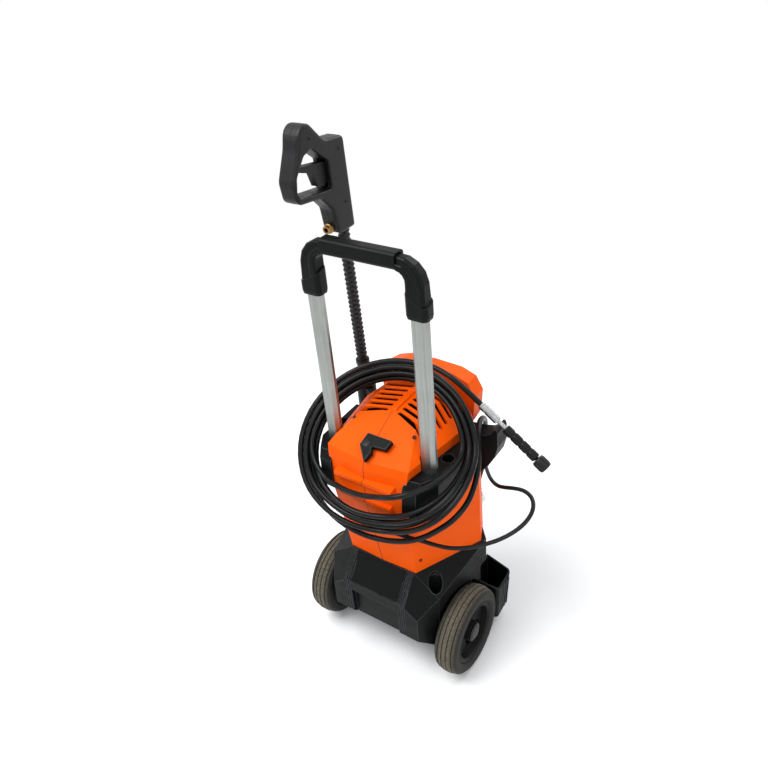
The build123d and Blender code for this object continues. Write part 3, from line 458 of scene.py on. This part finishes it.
def marked_metal(name, dark, light, low, high, stretch, mark_mm):
    """Metal with marks in its colour and gloss: lines along a drawn tube, or an even mottle."""
    material, tree = new_material(name)
    place = add_node(tree, "ShaderNodeTexCoord").outputs["Object"]
    along = add_node(tree, "ShaderNodeMapping", {"Scale": stretch}, {"Vector": place})
    streaks = add_node(tree, "ShaderNodeTexNoise", {"Scale": 1000 / mark_mm, "Detail": 4},
                       {"Vector": along.outputs[0]})
    stains = add_node(tree, "ShaderNodeTexNoise", {"Scale": 1000 / stain_mm, "Detail": 3},
                      {"Vector": place})
    streak = streaks.outputs["Fac"]
    both = add_node(tree, "ShaderNodeMath", operation="MULTIPLY_ADD",
                    links={0: streak, 1: stains.outputs["Fac"], 2: streak})
    colour = add_node(tree, "ShaderNodeMix", {mix_first: linear(dark), mix_second: linear(light)},
                      {mix_factor: both.outputs[0]}, data_type="RGBA")
    sheen = add_node(tree, "ShaderNodeMapRange",
                     {"From Min": 0.3, "From Max": 0.7, "To Min": low, "To Max": high}, {"Value": streak})
    edges = add_node(tree, "ShaderNodeBevel", {"Radius": metal_edge_mm / 1000})
    surface = add_node(tree, "ShaderNodeBsdfPrincipled", {"Metallic": 1.0},
                       {"Base Color": colour.outputs[mix_result], "Roughness": sheen.outputs[0],
                        "Normal": edges.outputs[0]})
    add_node(tree, "ShaderNodeOutputMaterial", links={"Surface": surface.outputs[0]})
    return material


def silver_tube():
    """Anodised aluminium, drawn: satin grey with faint lines along the tube, drawn coarser to show."""
    return marked_metal("anodised_drawn_aluminium", "#767a77", "#a3a7a3",
                        low=0.30, high=0.44, stretch=(1, 1, 0.02), mark_mm=2.5)


def steel():
    """Zinc-plated steel: bright, with a faint mottle and a few dull stains."""
    return marked_metal("zinc_plated_steel", "#7c7e80", "#b4b6b8",
                        low=0.26, high=0.40, stretch=(1, 1, 1), mark_mm=3)


def brass():
    """Turned brass gone dull and brown, unevenly."""
    return marked_metal("tarnished_turned_brass", "#6f5230", "#a98455",
                        low=0.28, high=0.44, stretch=(1, 1, 1), mark_mm=4)


material_makers = (orange_shell, black_base, handle_grip, gun_plastic, wheel_plastic, cap_plastic,
                   fitting_plastic, hose_rubber, cord_rubber, tyre_rubber, silver_tube, steel, brass)
finishes = {maker.__name__: maker() for maker in material_makers}


def paint(piece, slot):
    """Give a piece the material of a slot."""
    piece.data.materials.clear()
    piece.data.materials.append(finishes[slot])


def paint_nodes():
    """Each CAD node takes the material of its slot in the record."""
    for part in frame["record"]["subparts"]:
        paint(nodes[part["node"]], part["material_slot"])


# Hose and power cord

def hose_point(turn):
    """Centre of the hose after a number of turns, wound clockwise as seen from behind.

    The turns spiral in on the back layer and out again on the front one. They bunch at the top and
    the sides and fan out down the rear face, where the corners of the brackets push them outward.
    """
    angle = math.radians(-90 - 360 * turn)
    across = math.cos(angle)
    up = math.sin(angle)
    at_side = across ** 2
    at_top = max(up, 0) ** 2
    at_bottom = max(-up, 0) ** 2
    spiral = abs(turn - layer_change)
    layer = min(max((turn - layer_change + layer_change_span / 2) / layer_change_span, 0), 1)
    lap = min(math.floor(turn + 0.5), len(lap_drop) - 1)
    drop = lap_drop[lap]
    side_radius = coil_side_radius + coil_side_pitch * spiral - coil_side_skew * across
    top_radius = coil_top_radius + coil_top_pitch * spiral
    bottom_radius = coil_bottom_radius + drop_in_plane * drop
    end_radius = top_radius if up > 0 else bottom_radius
    radius = 1 / math.hypot(across / side_radius, up / end_radius) - layer_nest * layer * at_top
    lift = at_side * layer_step * layer
    lift += at_top * (coil_top_lift + coil_top_lean * spiral + layer_step * layer)
    lift += at_bottom * (coil_bottom_lift - drop_inwards * drop)
    if up < 0:
        corner = (2 * across * up) ** 2
        push = right_push[lap] if across > 0 else left_push[lap]
        lift += push * corner * (2 - corner)
    upward = coil_facing.cross(coil_right)
    return coil_centre + (coil_right * across + upward * up) * radius + coil_facing * lift


def cord_point(turn):
    """Centre of the cord in its put-away coil, whose layers spiral in and out by turns."""
    rows = cord_coil_turns / cord_coil_layers
    top_layer = cord_coil_layers - 1
    layer_place = turn / rows
    layer = min(max(math.floor(layer_place), 0), top_layer)
    inwards = layer_place - layer
    spiral = rows * (1 - inwards if layer % 2 == 0 else inwards)
    climb_half = cord_climb_turns / rows
    nearest = round(layer_place)
    height = layer
    if 1 <= nearest <= top_layer and abs(layer_place - nearest) < climb_half:
        height = nearest - 0.5 + (layer_place - nearest) / (2 * climb_half)
    angle = 2 * math.pi * turn + cord_coil_start
    radius = cord_coil_inner + cord_pitch * spiral
    place = Vector((math.cos(angle) * radius, math.sin(angle) * radius, height * cord_pitch))
    return cord_coil_centre + place


def turns_between(point_at, first, last, per_turn):
    """Points along a winding, from one turn to another."""
    count = math.ceil((last - first) * per_turn)
    return [point_at(first + (last - first) * number / count) for number in range(count + 1)]


def straight_on(point_at, turn, distance):
    """Point straight on from a turn of a winding, ahead of it or behind."""
    step = 0.002
    heading = (point_at(turn + step) - point_at(turn - step)).normalized()
    return point_at(turn) + heading * distance


def millimetres(points):
    """Points given in millimetres, in metres."""
    return [Vector(point) / 1000 for point in points]


def tube_curve(name, points, diameter, slot):
    """Round tube along a smooth curve with these control points."""
    curve = bpy.data.curves.new(name, "CURVE")
    curve.dimensions = "3D"
    curve.bevel_depth = diameter / 2
    curve.bevel_resolution = 4
    curve.resolution_u = 4
    curve.use_fill_caps = True
    spline = curve.splines.new("NURBS")
    spline.points.add(len(points) - 1)
    for point, place in zip(spline.points, points):
        point.co = (*place, 1)
    spline.order_u = 3
    spline.use_endpoint_u = True
    tube = bpy.data.objects.new(name, curve)
    bpy.context.scene.collection.objects.link(tube)
    paint(tube, slot)
    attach(tube, "machine")
    return tube


def add_hose():
    """High pressure hose from the outlet, over the side hook, round the machine and to its free end."""
    feed = millimetres(hose_feed_mm)
    feed.append(straight_on(hose_point, hose_first_turn, -hose_lead_in))
    coil = turns_between(hose_point, hose_first_turn, hose_last_turn, hose_points_per_turn)
    free = [straight_on(hose_point, hose_last_turn, hose_lead_out), hose_end_bend]
    free += [hose_end - hose_end_heading * hose_end_straight, hose_end]
    hose = tube_curve("high_pressure_hose", feed + coil + free, hose_diameter, "hose_rubber")
    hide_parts("hose_coil", "hose_feed", "hose_end")


def add_power_cord():
    """Power cord from its gland, in a loop under the side hook and down to its tied coil and plug."""
    run = millimetres(cord_run_mm)
    run.append(straight_on(cord_point, 0, -cord_lead_in))
    coil = turns_between(cord_point, 0, cord_coil_turns, cord_points_per_turn)
    tail = [straight_on(cord_point, cord_coil_turns, cord_lead_out)]
    tail += [plug_start - plug_heading * plug_straight, plug_start]
    cord = tube_curve("mains_cord", run + coil + tail, cord_diameter, "cord_rubber")
    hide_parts("power_cord", "cord_coil", "cord_tail")


# Parting lines, roof spine, body of the gun and screws

def new_piece(name, shape, slot, body):
    """Finished piece from a bmesh, painted and riding on a body."""
    mesh = bpy.data.meshes.new(name)
    shape.to_mesh(mesh)
    shape.free()
    piece = bpy.data.objects.new(name, mesh)
    bpy.context.scene.collection.objects.link(piece)
    paint(piece, slot)
    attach(piece, body)
    return piece


def merged_copy(pieces):
    """One bmesh with copies of the meshes of some pieces, their doubled corners merged."""
    shape = bmesh.new()
    for piece in pieces:
        shape.from_mesh(piece.data)
    bmesh.ops.remove_doubles(shape, verts=shape.verts, dist=merge_distance)
    return shape


def everything(shape):
    """All corners, edges and faces of a bmesh."""
    return shape.verts[:] + shape.edges[:] + shape.faces[:]


def remove_middle(shape, centre_x):
    """Delete the faces that lie in the plane where two halves meet."""
    middle = [face for face in shape.faces
              if all(abs(corner.co.x - centre_x) < middle_tolerance for corner in face.verts)]
    bmesh.ops.delete(shape, geom=middle, context="FACES")


def add_seam(name, pieces, centre_x, slot, body):
    """Dark line where two moulded halves meet: a thin band cut from both, standing a hair proud."""
    shape = merged_copy(pieces)
    remove_middle(shape, centre_x)
    for side in (-1, 1):
        bmesh.ops.bisect_plane(shape, geom=everything(shape), dist=cut_tolerance, clear_outer=True,
                               plane_co=(centre_x + side * seam_width / 2, 0, 0), plane_no=(side, 0, 0))
    shape.normal_update()
    for corner in shape.verts:
        corner.co += corner.normal * seam_rise
    bmesh.ops.solidify(shape, geom=shape.faces[:], thickness=seam_thickness)
    bmesh.ops.recalc_face_normals(shape, faces=shape.faces)
    new_piece(name, shape, slot, body)


def add_roof_spine():
    """Raised rib along the middle of the louvred roof, its sides drafted and its edges rounded."""
    rear, front = spine_ends
    shape = bmesh.new()
    bmesh.ops.create_cube(shape, size=1)
    bmesh.ops.scale(shape, verts=shape.verts, vec=(spine_width, front - rear, 2 * spine_height))
    bmesh.ops.translate(shape, verts=shape.verts, vec=(0, (rear + front) / 2, roof_z))
    upper = [corner for corner in shape.verts if corner.co.z > roof_z]
    bmesh.ops.scale(shape, verts=upper, vec=(spine_taper, 1, 1))
    rear_corners = [corner for corner in upper if corner.co.y < 0]
    bmesh.ops.translate(shape, verts=rear_corners, vec=(0, 2 * spine_height, 0))
    rims = [edge for edge in shape.edges if any(corner in upper for corner in edge.verts)]
    bmesh.ops.bevel(shape, geom=rims, offset=spine_rounding, segments=3, profile=0.5, affect="EDGES",
                    material=-1)
    new_piece("roof_spine", shape, "orange_shell", "machine")


def gun_point_mm(behind, height):
    """Point on the right face of the leaning gun, behind the line of its extension."""
    x, y, z = gun_foot_mm
    rise = height - z
    y -= behind * math.cos(gun_lean) + rise * math.sin(gun_lean)
    z += rise * math.cos(gun_lean) - behind * math.sin(gun_lean)
    return (x + gun_half_thickness_mm, y, z)


def even_cells(shape, cell):
    """The same closed form with its surface in even cells."""
    mesh = bpy.data.meshes.new("draft")
    shape.to_mesh(mesh)
    shape.free()
    draft = bpy.data.objects.new("draft", mesh)
    bpy.context.scene.collection.objects.link(draft)
    cells = draft.modifiers.new("cells", "REMESH")
    cells.mode = "VOXEL"
    cells.voxel_size = cell
    draft_seen = draft.evaluated_get(bpy.context.evaluated_depsgraph_get())
    evened = bmesh.new()
    evened.from_mesh(draft_seen.data)
    bpy.data.objects.remove(draft)
    bpy.data.meshes.remove(mesh)
    return evened


def round_grip(shape, back):
    """Take the two rear corners of the grip down to arcs, a flat cut at a time."""
    foot = Vector(gun_foot_mm) / 1000
    bmesh.ops.bisect_plane(shape, geom=everything(shape), dist=cut_tolerance,
                           plane_co=foot + back * grip_start, plane_no=back)
    for centre, radius, first, last in grip_corners_mm:
        for number in range(1, grip_corner_cuts):
            angle = math.radians(first + (last - first) * number / grip_corner_cuts)
            behind = centre[0] + radius * math.cos(angle)
            height = centre[1] + radius * math.sin(angle)
            middle, rim = millimetres([gun_point_mm(*centre), gun_point_mm(behind, height)])
            grip = [corner for corner in shape.verts
                    if (corner.co - foot).dot(back) > grip_start - merge_distance]
            on_grip = set(grip)
            grip += [item for item in shape.edges[:] + shape.faces[:] if on_grip.issuperset(item.verts)]
            bmesh.ops.bisect_plane(shape, geom=grip, dist=cut_tolerance, clear_outer=True, plane_co=rim,
                                   plane_no=rim - middle)
            bmesh.ops.holes_fill(shape, edges=[edge for edge in shape.edges if edge.is_boundary])


def add_gun_shell():
    """Body of the gun as one rounded form, made from its two halves."""
    shape = merged_copy([nodes["gun_body_left"], nodes["gun_body_right"]])
    remove_middle(shape, gun_x_mm / 1000)
    back = Vector((0, -math.cos(gun_lean), -math.sin(gun_lean)))
    round_grip(shape, back)
    shape = even_cells(shape, gun_cell)
    up = Vector((0, -math.sin(gun_lean), math.cos(gun_lean)))
    start = Vector(gun_point_mm(0, grip_stretch_start_mm)) / 1000
    for corner in shape.verts:
        corner.co += up * max((corner.co - start).dot(up), 0) * grip_stretch
    for step in range(gun_smoothing_steps):
        bmesh.ops.smooth_vert(shape, verts=shape.verts, factor=0.5, use_axis_x=True, use_axis_y=True,
                              use_axis_z=True)
    for face in shape.faces:
        face.smooth = True
    shell = new_piece("gun_shell", shape, "gun_plastic", "gun")
    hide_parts("gun_body_left", "gun_body_right")
    return shell


def screw_heads(name, places_mm, facing, radius, slot, body):
    """Low round screw heads with a sunk drive, standing on a face."""
    turn = Vector(facing).to_track_quat("Z", "Y").to_matrix().to_4x4()
    outward = turn.col[2].xyz
    shape = bmesh.new()
    for place in millimetres(places_mm):
        head = bmesh.ops.create_cone(shape, cap_ends=True, segments=screw_sides, radius1=radius,
                                     radius2=radius * screw_taper, depth=radius * screw_height,
                                     matrix=Matrix.Translation(place) @ turn)
        corners = set(head["verts"])
        ends = [face for face in shape.faces
                if len(face.verts) == screw_sides and corners.issuperset(face.verts)]
        top = max(ends, key=lambda face: face.normal.dot(outward))
        bmesh.ops.inset_region(shape, faces=[top], thickness=radius * drive_rim, depth=0)
        bmesh.ops.inset_region(shape, faces=[top], thickness=radius * drive_slope,
                               depth=-radius * drive_depth)
    new_piece(name, shape, slot, body)


def add_screws():
    """Screws of the housing's corners and roof, the front panel and the gun."""
    for side_name, side in (("left", -1), ("right", 1)):
        for name, place, facing in side_screws_mm:
            here, outward = [(side * x, y, z) for x, y, z in (place, facing)]
            screw_heads(f"{name}_{side_name}", [here], outward, screw_radius, "cap_plastic", "machine")
    panel_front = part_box("front_panel")[1][1] * 1000
    panel_places = [(side * x, panel_front, z) for side in (-1, 1) for x, z in panel_screws_mm]
    screw_heads("panel_screws", panel_places, (0, 1, 0), screw_radius, "steel", "machine")
    gun_places = [gun_point_mm(behind, height) for behind, height in gun_screws_mm]
    screw_heads("gun_screws", gun_places, (1, 0, 0), gun_screw_radius, "cap_plastic", "gun")


# The scene

add_camera()
paint_nodes()
add_hose()
add_power_cord()
add_world()
add_floor()
for lamp in lamps:
    add_lamp(*lamp)
add_seam("housing_seam", [nodes["housing_left"], nodes["housing_right"]], 0, "cap_plastic", "machine")
add_seam("gun_seam", [add_gun_shell()], gun_x_mm / 1000, "cap_plastic", "gun")
add_roof_spine()
add_screws()
